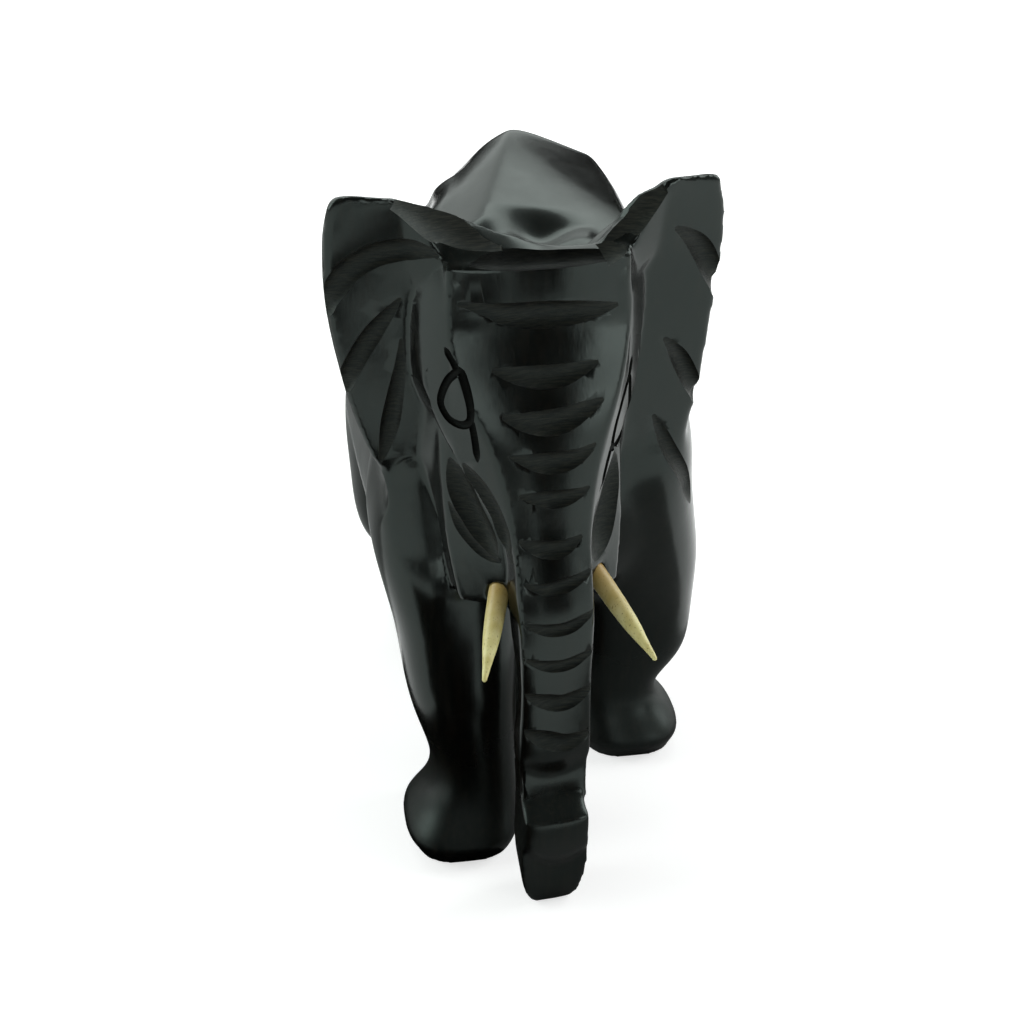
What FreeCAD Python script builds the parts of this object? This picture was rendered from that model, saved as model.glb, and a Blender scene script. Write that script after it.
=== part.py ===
import FreeCAD, Part
import math
import os

# A walking elephant carved from one block of ebony, with two bone tusks glued into
# sockets in its jaw. The elephant faces -Y and stands on the plane z = 0.
# Sizes are in millimetres. In the working frame x = 0 is the middle of the body and
# y = 0 the front of the leading forefoot; the finished model is moved to the middle.

# ---------------------------------------------------------------- driving sizes
# torso
BODY_LENGTH = 137.0          # leading forefoot to the end of the rump
BACK_HEIGHT = 145.8          # ground to the top of the domed back
BELLY_HEIGHT = 42.0          # ground to the underside of the belly
BODY_HALF_WIDTH = 39.5
RIDGE_FULLNESS_RIGHT = 1.18  # 1 is a sharp gable, 2 a round back
RIDGE_FULLNESS_LEFT = 2.15
NECK_FULLNESS = 2.2
BELLY_FULLNESS = 2.5
WIDEST_SHARE = 0.37          # height of the widest level, from the belly to the back

# legs: lateral places are of the outer and inner side of each foot's rim
FOOT_LENGTH = 31.0
FOOT_RIM_HEIGHT = 6.0
SOLE_INSET = 1.5             # how far the rim overhangs the flat sole
ANKLE_HEIGHT = 16.0
ANKLE_LENGTH = 22.5
SHIN_INSET = 6.2             # outer side of the ankle, in from the foot's rim
LEG_FULLNESS = 2.7
LEG_TOP_HEIGHT = 104.0
RIGHT_FORE_FOOT = (-34.5, -8.0)
LEFT_FORE_FOOT = (12.0, 38.6)
RIGHT_HIND_FOOT = (-29.5, -4.5)
LEFT_HIND_FOOT = (9.0, 34.5)
FORE_FOOT_FRONT = -0.8       # front of the leading right forefoot
FORE_STRIDE = 33.0           # left forefoot behind the right one
HIND_STRIDE = 14.0           # left hind foot ahead of the right one
HIND_FOOT_SETBACK = 41.0     # right hind foot's front ahead of the rump's end

# head, in a frame of its own that is turned about the vertical
HEAD_TURN = 6.0              # degrees, towards the elephant's left
HEAD_SHIFT = -5.1
FOREHEAD_HEIGHT = 141.8
FOREHEAD_HALF_WIDTH = 18.2
CHEEK_HALF_WIDTH = 22.2
TRUNK_HALF_WIDTH = 7.6
TRUNK_DEPTH = 11.0
TRUNK_FRONT = -12.2          # front of the hanging part of the trunk
FOREHEAD_SETBACK = 16.1      # forehead's top edge behind the trunk's front
TRUNK_TIP_KICK = 5.2         # how far the curled tip stands out in front of it
TRUNK_TIP_HEIGHT = 25.0
TRUNK_TIP_LEAN = -0.8        # sideways, towards the elephant's right
JAW_HALF_WIDTH = 19.4
JAW_HEIGHT = 71.0            # ground to the underside of the jaw
SKULL_LENGTH = 38.0
SKULL_FULLNESS = 2.4

# ears
EAR_TOP_HEIGHT = 152.8
EAR_HALF_SPAN = 40.0
EAR_LOW_HEIGHT = 94.0
EAR_THICKNESS = 5.0          # at its upper outer edge
EAR_TOP_BACK_FALL = 0.35     # slope of the ear's top down to its back
EAR_TOP_SIDE_FALL = 0.25     # and down to the head
EAR_LOW_REACH_RIGHT = 29.7
EAR_LOW_REACH_LEFT = 38.0

# tail
TAIL_ROOT_HEIGHT = 117.0
TAIL_LENGTH = 82.0
TAIL_RADIUS = 4.4
TAIL_ROOT_DEPTH = 13.0       # how far the relief reaches into the wood behind it

# tusks and their sockets
TUSK_DIAMETER = 4.3
TUSK_LENGTH = 19.5           # the part that shows
TUSK_TIP_DIAMETER = 2.0
TUSK_PEG_LENGTH = 9.0
GLUE_GAP = 0.05              # all round the peg
SOCKET_END_GAP = 0.5
RIGHT_TUSK_SPREAD = 9.8      # socket's mouth from the middle of the head
LEFT_TUSK_SPREAD = 12.6
TUSK_MOUTH_FRONT = -2.4
RIGHT_TUSK_HEIGHT = 73.4     # ground to the middle of the socket's mouth
LEFT_TUSK_HEIGHT = 72.4
TUSK_SPLAY = 25.0            # degrees outwards
TUSK_DROOP = 34.0            # degrees below level

RING_STEPS = 20              # points on each smooth section
LOFT_DEGREE = 3              # keeps smooth lofts from overshooting between sections


# ---------------------------------------------------------------- shaping helpers
def signed_power(value, power):
    return math.copysign(abs(value) ** power, value)


def oval(steps, fullness_at):
    """Unit superellipse as (u, v) pairs; fullness_at gives its exponent at (cos, sin)."""
    pairs = []
    for step in range(steps):
        angle = 2.0 * math.pi * step / steps
        c, s = math.cos(angle), math.sin(angle)
        power = 2.0 / fullness_at(c, s)
        pairs.append((signed_power(c, power), signed_power(s, power)))
    return pairs


def smooth_ring(points):
    curve = Part.BSplineCurve()
    curve.interpolate(Points=points, PeriodicFlag=True)
    return Part.Wire(curve.toShape())


def faceted_ring(points):
    return Part.makePolygon(list(points) + [points[0]])


def loft(rings, straight=False):
    return Part.makeLoft(rings, True, straight, False, LOFT_DEGREE)


def mirrored(points):
    """Adds the mirror image across x = 0 to the points of one side, in loop order."""
    other = [FreeCAD.Vector(-p.x, p.y, p.z) for p in reversed(points)]
    return list(points) + other


def between(low, high, share):
    return low + (high - low) * share


# ---------------------------------------------------------------- torso
def torso_ring(along, width, low, high, gable):
    """along, width, low and high are shares of the body's length, half width and height;
    gable goes from 0 for a round neck to 1 for the ridged back."""
    y = BODY_LENGTH * along
    half = BODY_HALF_WIDTH * width
    bottom = between(BELLY_HEIGHT, BACK_HEIGHT, low)
    top = between(BELLY_HEIGHT, BACK_HEIGHT, high)
    middle = between(bottom, top, WIDEST_SHARE)
    left = between(NECK_FULLNESS, RIDGE_FULLNESS_LEFT, gable)
    right = between(NECK_FULLNESS, RIDGE_FULLNESS_RIGHT, gable)

    def fullness(c, s):
        if s < 0:
            return BELLY_FULLNESS
        return left if c > 0 else right

    points = []
    for u, v in oval(RING_STEPS, fullness):
        z = middle + v * ((top - middle) if v > 0 else (middle - bottom))
        points.append(FreeCAD.Vector(half * u, y, z))
    return smooth_ring(points)


def torso():
    stations = [
        (0.14, 0.46, 0.32, 0.84, 0.0),
        (0.20, 0.78, 0.14, 0.89, 0.0),
        (0.29, 0.92, 0.03, 0.92, 0.1),
        (0.44, 0.98, 0.00, 0.965, 0.6),
        (0.60, 1.00, 0.00, 1.00, 1.0),
        (0.76, 0.99, 0.02, 0.94, 0.9),
        (0.89, 0.86, 0.10, 0.82, 0.6),
        (0.97, 0.55, 0.24, 0.67, 0.3),
        (1.00, 0.22, 0.38, 0.52, 0.0),
    ]
    return loft([torso_ring(*station) for station in stations])


# ---------------------------------------------------------------- legs
def leg_ring(z, inner, outer, front, back):
    points = []
    for u, v in oval(RING_STEPS, lambda c, s: LEG_FULLNESS):
        x = between(inner, outer, (1.0 + u) / 2.0)
        y = between(front, back, (1.0 + v) / 2.0)
        points.append(FreeCAD.Vector(x, y, z))
    return smooth_ring(points)


def foot_rings(inner, outer, front):
    """Flat sole, overhanging rim and the ankle above it, shared by all four legs."""
    side = math.copysign(1.0, outer)
    back = front + FOOT_LENGTH
    inset = SOLE_INSET
    ankle_front = front + 0.6 * (FOOT_LENGTH - ANKLE_LENGTH)
    ankle_back = ankle_front + ANKLE_LENGTH
    shin = side * SHIN_INSET
    return [
        leg_ring(0.0, inner + side * inset, outer - side * inset, front + inset, back - inset),
        leg_ring(FOOT_RIM_HEIGHT / 2.0, inner + side * inset * 0.3, outer - side * inset * 0.3,
                 front + inset * 0.3, back - inset * 0.3),
        leg_ring(FOOT_RIM_HEIGHT, inner, outer, front, back),
        leg_ring(between(FOOT_RIM_HEIGHT, ANKLE_HEIGHT, 0.45), inner, outer - shin * 0.55,
                 between(front, ankle_front, 0.6), between(back, ankle_back, 0.6)),
        leg_ring(ANKLE_HEIGHT, inner, outer - shin, ankle_front, ankle_back),
    ]


def leg(foot, front, stations):
    """stations: share of the height from the ankle to the top, then how far the outer and
    inner side move outwards and the front and back move to the rear, in foot lengths."""
    inner, outer = sorted(foot, key=abs)
    side = math.copysign(1.0, outer)
    rings = foot_rings(inner, outer, front)
    for share, outer_move, inner_move, front_move, back_move in stations:
        z = between(ANKLE_HEIGHT, LEG_TOP_HEIGHT, share)
        rings.append(leg_ring(z, inner + side * FOOT_LENGTH * inner_move,
                              outer + side * FOOT_LENGTH * outer_move,
                              front + FOOT_LENGTH * front_move,
                              front + FOOT_LENGTH * (1.0 + back_move)))
    return loft(rings)


def legs():
    fore_right = [
        (0.20, -0.11, 0.0, 0.148, -0.032),
        (0.38, -0.019, -0.016, 0.148, 0.097),
        (0.55, 0.071, -0.048, 0.194, 0.258),
        (0.80, 0.11, -0.097, 0.52, 0.581),
        (1.00, -0.129, 0.065, 0.8, 0.581),
    ]
    fore_left = [
        (0.10, -0.013, 0.0, 0.142, -0.097),
        (0.20, 0.071, 0.0, 0.116, -0.065),
        (0.36, 0.077, -0.016, 0.019, 0.0),
        (0.53, 0.026, -0.048, -0.161, 0.065),
        (0.80, -0.11, -0.097, -0.42, 0.0),
        (1.00, -0.258, 0.065, -0.13, -0.129),
    ]
    hind_right = [
        (0.20, 0.174, 0.048, -0.29, -0.129),
        (0.34, 0.31, 0.065, -0.484, -0.129),
        (0.50, 0.335, 0.032, -0.581, -0.065),
        (0.78, 0.226, -0.032, -0.548, 0.065),
        (1.00, -0.258, 0.129, -0.194, -0.452),
    ]
    hind_left = [
        (0.19, 0.0, 0.016, -0.032, 0.032),
        (0.36, 0.129, 0.016, -0.097, 0.226),
        (0.53, 0.174, -0.032, -0.097, 0.452),
        (0.78, 0.129, -0.097, -0.065, 0.516),
        (1.00, -0.161, 0.097, 0.194, 0.065),
    ]
    hind_right_front = BODY_LENGTH - HIND_FOOT_SETBACK
    return [
        leg(RIGHT_FORE_FOOT, FORE_FOOT_FRONT, fore_right),
        leg(LEFT_FORE_FOOT, FORE_FOOT_FRONT + FORE_STRIDE, fore_left),
        leg(RIGHT_HIND_FOOT, hind_right_front, hind_right),
        leg(LEFT_HIND_FOOT, hind_right_front - HIND_STRIDE, hind_left),
    ]


# ---------------------------------------------------------------- head
def face_ring(z, front, plate, cheek, cheek_back, depth):
    """One level of the forehead and trunk: a flat front plate, cheeks that flare behind it
    and a narrower back. plate and cheek are half widths."""
    back = front + depth
    points = [
        FreeCAD.Vector(plate, front, z),
        FreeCAD.Vector(cheek, front + cheek_back, z),
        FreeCAD.Vector(plate * 0.8, back, z),
    ]
    return faceted_ring(mirrored(points))


def face_and_trunk():
    """Levels go up from the ledge above the trunk's tip to the forehead's top edge. setback
    is a share of the forehead's, and cheek_back and depth are in depths of the trunk."""
    ledge = TRUNK_TIP_HEIGHT
    jaw = JAW_HEIGHT
    top = FOREHEAD_HEIGHT
    levels = [
        (ledge * 1.04, -0.025, -0.019, 0.0, 0.364, 0.818),
        (between(ledge, jaw, 0.20), 0.006, -0.009, 0.007, 0.364, 0.864),
        (between(ledge, jaw, 0.45), 0.019, 0.0, 0.007, 0.364, 0.909),
        (between(ledge, jaw, 0.80), 0.0, 0.0, 0.014, 0.455, 1.0),
        (between(jaw, top, 0.08), 0.106, 0.028, 0.055, 0.455, 1.273),
        (between(jaw, top, 0.21), 0.273, 0.038, 0.096, 0.318, 1.727),
        (between(jaw, top, 0.35), 0.391, 0.132, 0.42, 0.527, 2.091),
        (between(jaw, top, 0.46), 0.472, 0.302, 0.72, 0.764, 2.273),
        (between(jaw, top, 0.58), 0.596, 0.585, 0.95, 0.891, 2.273),
        (between(jaw, top, 0.69), 0.752, 0.84, 1.0, 0.836, 1.909),
        (between(jaw, top, 0.86), 0.907, 1.0, 0.932, 0.673, 1.273),
        (top, 1.0, 0.981, 0.767, 0.309, 0.545),
    ]
    rings = []
    for z, setback, plate, cheek, cheek_back, depth in levels:
        rings.append(face_ring(z, TRUNK_FRONT + FOREHEAD_SETBACK * setback,
                               between(TRUNK_HALF_WIDTH, FOREHEAD_HALF_WIDTH, plate),
                               between(TRUNK_HALF_WIDTH, CHEEK_HALF_WIDTH, cheek),
                               TRUNK_DEPTH * cheek_back, TRUNK_DEPTH * depth))
    return loft(rings)


def trunk_tip():
    """Curled tip like the toe of a boot; its top is a ledge that slopes back and up. The
    front, rear and tilt of each level are in depths of the trunk."""
    depth = TRUNK_DEPTH
    back = TRUNK_FRONT + depth * 0.836
    toe = TRUNK_FRONT - TRUNK_TIP_KICK
    top = TRUNK_TIP_HEIGHT
    levels = [
        (0.0, 0.4, -0.318, 0.0, 0.474),
        (top * 0.10, 0.3, -0.145, 0.0, 0.237),
        (top * 0.26, 0.255, -0.055, 0.0, 0.079),
        (top * 0.66, 0.082, 0.0, 0.182, 0.013),
        (top, 0.0, 0.0, 0.682, 0.0),
    ]
    rings = []
    for z, front, rear, tilt, inset in levels:
        side = TRUNK_HALF_WIDTH * (1.0 - inset)
        back_side = side - TRUNK_HALF_WIDTH * 0.21
        points = [
            FreeCAD.Vector(side, toe + depth * front, z),
            FreeCAD.Vector(back_side, back + depth * rear, z + depth * tilt),
        ]
        rings.append(faceted_ring(mirrored(points)))
    tip = loft(rings)
    tip.translate(FreeCAD.Vector(TRUNK_TIP_LEAN, 0, 0))
    return tip


def jaw():
    """Cheek blocks on both sides of the trunk, which hold the tusks. inner is in half widths
    of the trunk, the other places in half widths of the jaw."""
    w = JAW_HALF_WIDTH
    t = TRUNK_HALF_WIDTH
    rear = SKULL_LENGTH * 0.737
    high = between(JAW_HEIGHT, FOREHEAD_HEIGHT, 0.52)
    levels = [
        (JAW_HEIGHT * 0.993, 0.868, -0.258, 0.876, 0.082),
        (between(JAW_HEIGHT, high, 0.30), 0.868, -0.289, 0.959, 0.247),
        (between(JAW_HEIGHT, high, 0.62), 1.066, -0.186, 1.0, 0.381),
        (high, 1.329, 0.103, 0.969, 0.495),
    ]
    rings = []
    for z, inner, inner_front, outer, outer_front in levels:
        points = [
            FreeCAD.Vector(t * inner, w * inner_front, z),
            FreeCAD.Vector(w * outer, w * outer_front, z),
            FreeCAD.Vector(w * outer, rear, z),
        ]
        rings.append(faceted_ring(mirrored(points)))
    return loft(rings)


def skull():
    """The mass behind the face that runs back into the neck; its places are in its lengths."""
    stations = [
        (0.21, 0.80, 0.158, -0.066),
        (0.42, 1.00, 0.039, -0.079),
        (0.71, 1.12, -0.079, -0.145),
        (1.00, 1.10, -0.158, -0.289),
    ]
    rings = []
    for back, width, low_rise, high_rise in stations:
        low = JAW_HEIGHT + SKULL_LENGTH * low_rise
        high = FOREHEAD_HEIGHT + SKULL_LENGTH * high_rise
        points = []
        for u, v in oval(RING_STEPS, lambda c, s: SKULL_FULLNESS):
            x = CHEEK_HALF_WIDTH * width * u
            z = between(low, high, (1.0 + v) / 2.0)
            points.append(FreeCAD.Vector(x, SKULL_LENGTH * back, z))
        rings.append(smooth_ring(points))
    return loft(rings)


def crown():
    """Faceted saddle between the ears: a low middle that climbs to the top of each ear. Each
    row has a base height, then x and the places of its front, crest and back edges, with
    their rises over the base, all in half widths of the forehead."""
    unit = FOREHEAD_HALF_WIDTH
    low = FOREHEAD_HEIGHT
    high = EAR_TOP_HEIGHT - unit * 0.077
    stations = [
        (high, -1.48, 0.352, 0.0, 0.462, -0.011, 0.714, -0.33),
        (low, -1.00, 0.253, -0.016, 0.505, 0.363, 0.824, -0.055),
        (low, -0.66, 0.253, 0.0, 0.549, 0.253, 0.934, -0.11),
        (low, -0.22, 0.253, 0.0, 0.571, 0.143, 1.044, -0.22),
        (low, 0.11, 0.253, -0.022, 0.582, 0.044, 1.099, -0.275),
        (low, 0.44, 0.253, -0.033, 0.593, -0.022, 1.099, -0.302),
        (low, 0.77, 0.253, -0.033, 0.571, 0.033, 1.044, -0.247),
        (low, 1.00, 0.253, -0.044, 0.538, 0.209, 0.934, -0.137),
        (high, 1.52, 0.352, -0.022, 0.462, -0.033, 0.714, -0.33),
    ]
    rings = []
    for base, x, front, front_rise, crest, crest_rise, back, back_rise in stations:
        outline = [
            (front + 0.165, front_rise - 0.495),
            (front, front_rise),
            (crest, crest_rise),
            (back, back_rise),
            (back - 0.11, front_rise - 0.769),
        ]
        points = [FreeCAD.Vector(unit * x, unit * y, base + unit * rise) for y, rise in outline]
        rings.append(faceted_ring(points))
    return loft(rings, straight=True)


def ear(side, low_reach):
    """Thick spread ear, from its low point on the shoulder up to its tip. The two low levels
    are buried in the shoulder. Roots and edges are in half spans, thicknesses in ear
    thicknesses."""
    span = EAR_HALF_SPAN
    reach = low_reach / span
    levels = [
        (-0.40, 0.5, 0.625, reach - 0.038, 0.675, 1.6, 2.2, 0.2),
        (-0.16, 0.5, 0.488, reach - 0.013, 0.52, 1.6, 2.2, 0.2),
        (0.00, 0.5, 0.415, reach, 0.44, 1.6, 2.2, 0.2),
        (0.20, 0.5, 0.355, between(reach, 1.0, 0.45), 0.39, 1.4, 2.1, 0.2),
        (0.46, 0.5, 0.3, between(reach, 1.0, 0.80), 0.33, 1.2, 1.9, 0.2),
        (0.72, 0.463, 0.24, 1.0, 0.27, 1.0, 1.8, 0.2),
        (0.82, 0.455, 0.19, 1.0, 0.255, 0.92, 1.8, 0.15),
        (0.91, 0.565, 0.16, 0.985, 0.248, 0.84, 1.4, 0.025),
        (0.97, 0.65, 0.16, 0.965, 0.243, 0.76, 1.0, 0.025),
        (1.00, 0.715, 0.165, 0.93, 0.24, 0.68, 0.8, 0.025),
    ]
    rings = []
    for share, root_x, root_y, edge_x, edge_y, edge_thick, root_thick, inward in levels:
        z = between(EAR_LOW_HEIGHT, EAR_TOP_HEIGHT, share)
        tilt = max(share, 0.0) ** 8
        outline = [
            (span * (root_x - inward), span * root_y),
            (span * root_x, span * root_y),
            (span * edge_x, span * edge_y),
            (span * (edge_x - 0.02), span * edge_y + EAR_THICKNESS * edge_thick),
            (span * (root_x - inward), span * root_y + EAR_THICKNESS * root_thick),
        ]
        points = []
        for x, y in outline:
            fall = EAR_TOP_BACK_FALL * (y - span * edge_y)
            fall += EAR_TOP_SIDE_FALL * (span * edge_x - x)
            points.append(FreeCAD.Vector(side * x, y, z - tilt * fall))
        rings.append(faceted_ring(points))
    return loft(rings)


def tusk_axis(side):
    splay = math.radians(TUSK_SPLAY)
    droop = math.radians(TUSK_DROOP)
    level = math.cos(droop)
    return FreeCAD.Vector(side * level * math.sin(splay), -level * math.cos(splay), -math.sin(droop))


def tusk_mouth(side):
    spread = RIGHT_TUSK_SPREAD if side < 0 else LEFT_TUSK_SPREAD
    height = RIGHT_TUSK_HEIGHT if side < 0 else LEFT_TUSK_HEIGHT
    return FreeCAD.Vector(side * spread, TUSK_MOUTH_FRONT, height)


def socket(side):
    """Blind hole for the peg; it starts in front of the jaw so that it cuts through its face."""
    axis = tusk_axis(side)
    depth = TUSK_PEG_LENGTH + SOCKET_END_GAP
    lead = TUSK_DIAMETER
    start = tusk_mouth(side) + axis * lead
    return Part.makeCylinder(TUSK_DIAMETER / 2.0 + GLUE_GAP, depth + lead, start, axis * -1.0)


def tusk(side):
    """Straight peg, then a taper and a rounded tip in short conical steps on one axis."""
    r = TUSK_DIAMETER / 2.0
    tip = TUSK_TIP_DIAMETER / 2.0
    nose = TUSK_LENGTH - tip
    steps = [
        (0.0, r),
        (nose * 0.30, between(tip, r, 0.88)),
        (nose * 0.65, between(tip, r, 0.56)),
        (nose, tip),
        (nose + tip * 0.6, tip * 0.8),
        (TUSK_LENGTH, tip * 0.4),
    ]
    up = FreeCAD.Vector(0, 0, 1)
    pieces = []
    for (low, low_radius), (high, high_radius) in zip(steps, steps[1:]):
        base = FreeCAD.Vector(0, 0, low)
        pieces.append(Part.makeCone(low_radius, high_radius, high - low, base, up))
    peg = Part.makeCylinder(r, TUSK_PEG_LENGTH, FreeCAD.Vector(0, 0, -TUSK_PEG_LENGTH), up)
    shape = peg.fuse(pieces)
    turn = FreeCAD.Rotation(up, tusk_axis(side))
    shape.Placement = FreeCAD.Placement(tusk_mouth(side), turn)
    return shape


def head_frame():
    turn = FreeCAD.Rotation(FreeCAD.Vector(0, 0, 1), HEAD_TURN)
    return FreeCAD.Placement(FreeCAD.Vector(HEAD_SHIFT, 0, 0), turn)


def in_head_frame(shape):
    placed = shape.copy()
    placed.Placement = head_frame().multiply(placed.Placement)
    return placed


# ---------------------------------------------------------------- tail
def tail():
    """Carved in relief down the rump and on to the back of the right hind leg: its section
    is round outside and reaches straight into the wood inside. x and y are in its lengths."""
    stations = [
        (0.00, 0.0, -0.061, 1.00),
        (0.18, 0.0, 0.004, 0.80),
        (0.38, -0.018, 0.012, 0.70),
        (0.58, -0.055, -0.024, 0.66),
        (0.78, -0.104, -0.128, 0.70),
        (0.90, -0.146, -0.165, 0.95),
        (1.00, -0.171, -0.183, 0.45),
    ]
    rings = []
    for share, x, y, thick in stations:
        z = TAIL_ROOT_HEIGHT - TAIL_LENGTH * share
        radius = TAIL_RADIUS * thick
        middle_x = TAIL_LENGTH * x
        middle_y = BODY_LENGTH + TAIL_LENGTH * y
        points = []
        for u, v in oval(RING_STEPS, lambda c, s: 2.0):
            reach = radius if v > 0 else TAIL_ROOT_DEPTH
            points.append(FreeCAD.Vector(middle_x + radius * u, middle_y + reach * v, z))
        rings.append(smooth_ring(points))
    return loft(rings)


# ---------------------------------------------------------------- assembly
def joined(blocks):
    """Fuses the blocks one after another, because faces that nearly touch fuse badly at once."""
    whole = blocks[0]
    for block in blocks[1:]:
        whole = whole.fuse(block)
    return whole


def carved_body():
    head_blocks = [
        face_and_trunk(),
        trunk_tip(),
        jaw(),
        skull(),
        crown(),
        ear(-1.0, EAR_LOW_REACH_RIGHT),
        ear(1.0, EAR_LOW_REACH_LEFT),
    ]
    head = in_head_frame(joined(head_blocks))
    block = joined([torso()] + legs() + [tail(), head])
    sockets = [in_head_frame(socket(side)) for side in (-1.0, 1.0)]
    return block.cut(sockets)


def centred(shapes):
    """Moves all shapes together so that the whole stands on z = 0 about the origin."""
    box = Part.makeCompound(list(shapes.values())).optimalBoundingBox()
    move = FreeCAD.Vector(-(box.XMin + box.XMax) / 2.0, -(box.YMin + box.YMax) / 2.0, -box.ZMin)
    print("moved by", [round(value, 3) for value in move])
    placed = {}
    for name, shape in shapes.items():
        placed[name] = shape.copy()
        placed[name].translate(move)
    return placed


def main():
    shapes = centred({
        "carved_body": carved_body(),
        "right_tusk": in_head_frame(tusk(-1.0)),
        "left_tusk": in_head_frame(tusk(1.0)),
    })
    os.makedirs("parts", exist_ok=True)
    for name, shape in shapes.items():
        shape.exportStep(f"parts/{name}.step")
        box = shape.BoundBox
        print(name, len(shape.Solids), shape.isValid(), round(shape.Volume),
              [round(v, 1) for v in (box.XMin, box.XMax, box.YMin, box.YMax, box.ZMin, box.ZMax)])


main()
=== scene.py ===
import math

import bmesh
import bpy
import numpy as np
from mathutils import Matrix, Vector
from mathutils.bvhtree import BVHTree


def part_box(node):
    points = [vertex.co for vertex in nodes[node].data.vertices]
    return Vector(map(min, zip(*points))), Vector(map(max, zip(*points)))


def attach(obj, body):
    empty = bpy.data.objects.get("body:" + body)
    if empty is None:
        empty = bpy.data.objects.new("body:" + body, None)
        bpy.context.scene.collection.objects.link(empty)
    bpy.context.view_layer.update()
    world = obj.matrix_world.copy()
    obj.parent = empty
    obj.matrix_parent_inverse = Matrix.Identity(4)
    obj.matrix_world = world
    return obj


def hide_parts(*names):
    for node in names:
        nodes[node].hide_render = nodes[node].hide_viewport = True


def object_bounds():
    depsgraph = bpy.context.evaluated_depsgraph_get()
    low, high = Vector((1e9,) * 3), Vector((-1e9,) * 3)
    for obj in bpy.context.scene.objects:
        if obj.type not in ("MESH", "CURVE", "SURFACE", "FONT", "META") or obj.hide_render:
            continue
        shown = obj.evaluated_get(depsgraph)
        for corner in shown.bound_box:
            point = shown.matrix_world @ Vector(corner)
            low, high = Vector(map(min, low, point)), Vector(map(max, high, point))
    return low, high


# A walking elephant carved from one block of ebony and polished by hand. Its folds, ears,
# eyes and jaw are cut with round gouges, and two bone tusks are glued into the jaw. It
# faces -Y and stands on z = 0.

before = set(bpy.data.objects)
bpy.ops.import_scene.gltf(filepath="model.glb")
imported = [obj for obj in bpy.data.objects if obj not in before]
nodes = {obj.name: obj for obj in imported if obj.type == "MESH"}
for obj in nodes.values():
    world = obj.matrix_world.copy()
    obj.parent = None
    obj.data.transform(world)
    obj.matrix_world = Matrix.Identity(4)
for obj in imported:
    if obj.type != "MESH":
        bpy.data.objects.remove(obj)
cad_low, cad_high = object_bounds()

MM = 0.001

# ------------------------------------------------------------------ sizes and places
FINE_GRAIN = 0.5                 # mm between the points of the worked surface
GRAIN = FINE_GRAIN
BODY_FACES = 165000
CAD_SEAM = 0.002                 # mm, below which points of a CAD mesh are one and the same
TUBE_SEAM = 0.001                # mm, the same for a tool's tube
CREASE = math.radians(32.0)      # an edge sharper than this stays crisp

# The origins of head and body lie on the ground, behind the figure's foremost point and
# beside the middle of its box. The head looks a little to its own left.
ORIGIN_BACK = 19.2 * MM
HEAD_ASIDE = -2.6 * MM
BODY_ASIDE = 2.5 * MM
HEAD_TURN = math.radians(6.0)
MIDDLE = (cad_low.x + cad_high.x) / 2
FROM_HEAD = (Matrix.Translation((MIDDLE + HEAD_ASIDE, cad_low.y + ORIGIN_BACK, 0.0))
             @ Matrix.Rotation(HEAD_TURN, 4, "Z"))
TO_HEAD = FROM_HEAD.inverted()
FROM_BODY = Matrix.Translation((MIDDLE + BODY_ASIDE, cad_low.y + ORIGIN_BACK, 0.0))
TO_BODY = FROM_BODY.inverted()

# On the head, in mm: the height of the crown's front edge, and how far back the brow, the
# cheeks and the ears reach.
CROWN_EDGE = 141.6
BROW_BACK = 9.0
CHEEK_BACK = 14.0
EAR_BACK = 36.0


def in_head(x, y, z):
    """A point given in the head's own frame: millimetres, x to the elephant's left."""
    return FROM_HEAD @ Vector((x * MM, y * MM, z * MM))


def ease(share):
    """0 below 0, 1 above 1, and a soft S between them."""
    share = np.clip(share, 0.0, 1.0)
    return share * share * (3.0 - 2.0 * share)


def rise(values, start, over):
    """A share that is 0 up to start and grows to 1 over that many millimetres."""
    return ease((values - start) / over)


def fade(values, end, over):
    """A share that is 0 from end on and sinks to it over that many millimetres."""
    return ease((end - values) / over)


# ------------------------------------------------------------------ mesh helpers
def linked(name, data):
    """A new object in the scene."""
    piece = bpy.data.objects.new(name, data)
    bpy.context.scene.collection.objects.link(piece)
    return piece


def settled(piece):
    """Applies the piece's modifiers to its mesh."""
    graph = bpy.context.evaluated_depsgraph_get()
    mesh = bpy.data.meshes.new_from_object(piece.evaluated_get(graph))
    piece.modifiers.clear()
    piece.data = mesh
    return piece


def finished(work, mesh):
    """Writes the work to the mesh."""
    work.to_mesh(mesh)
    work.free()
    return mesh


def merged(mesh, seam):
    """The mesh with its points joined that lie nearer than seam, in millimetres."""
    work = bmesh.new()
    work.from_mesh(mesh)
    bmesh.ops.remove_doubles(work, verts=work.verts, dist=seam * MM)
    return finished(work, mesh)


def places(mesh):
    """The mesh's points in metres, a row for each."""
    flat = np.empty(len(mesh.vertices) * 3, dtype=np.float32)
    mesh.vertices.foreach_get("co", flat)
    return flat.reshape(-1, 3).astype(np.float64)


def move_to(mesh, points):
    """Gives the mesh's points those places."""
    mesh.vertices.foreach_set("co", points.astype(np.float32).ravel())
    mesh.update()


def in_frame(points, to_frame):
    """The points' x, y and z in a frame of its own, in millimetres."""
    turn, shift = np.array(to_frame.to_3x3()), np.array(to_frame.translation)
    return ((points @ turn.T + shift) / MM).T


def seen_from(block, to_frame):
    """The block's x, y and z in a frame of its own, in millimetres."""
    return in_frame(places(block.data), to_frame)


def set_from(block, x, y, z, from_frame):
    """Moves the block's points to x, y and z, given in a frame of its own."""
    turn, shift = np.array(from_frame.to_3x3()), np.array(from_frame.translation)
    move_to(block.data, (np.stack([x, y, z], axis=1) * MM) @ turn.T + shift)


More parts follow.
